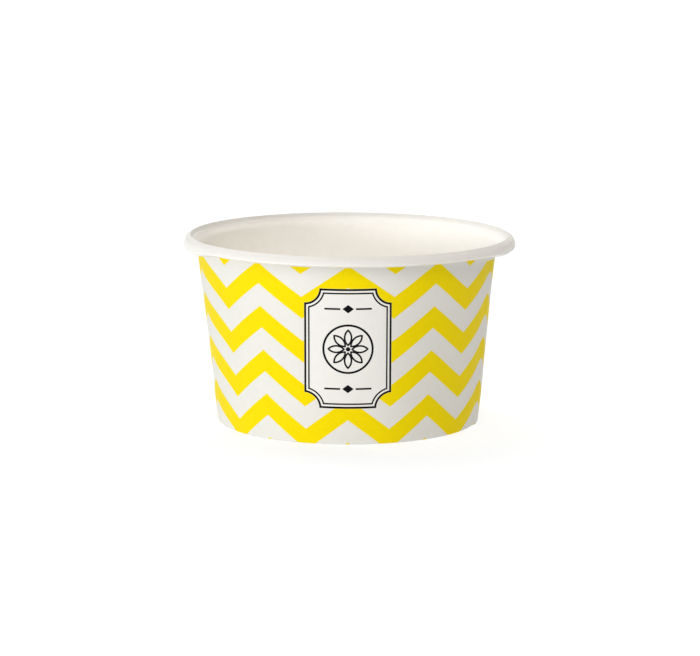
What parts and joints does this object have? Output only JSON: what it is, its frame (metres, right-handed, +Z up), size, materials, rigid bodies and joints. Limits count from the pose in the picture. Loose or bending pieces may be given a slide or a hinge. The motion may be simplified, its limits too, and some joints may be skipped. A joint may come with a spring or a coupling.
{
  "type": "paper dessert cup",
  "caption": "Small tapered paper dessert cup with a rolled rim, a lapped side seam, a recessed base and a yellow chevron print.",
  "frame": {"origin": "centre of the cup on the plane it stands on", "axes": "+Z up along the cup's axis, -Y towards the front panel of the print, +X towards the side seam, to the right of that panel"},
  "size_m": [0.0754, 0.0754, 0.0427],
  "materials": {
    "printed_board": "coated white paperboard, yellow zigzag print outside, satin",
    "plain_board": "coated white paperboard, unprinted, satin"
  },
  "bodies": {
    "root": {"sidewall": "printed_board", "base_disc": "plain_board"}
  },
  "joints": []
}
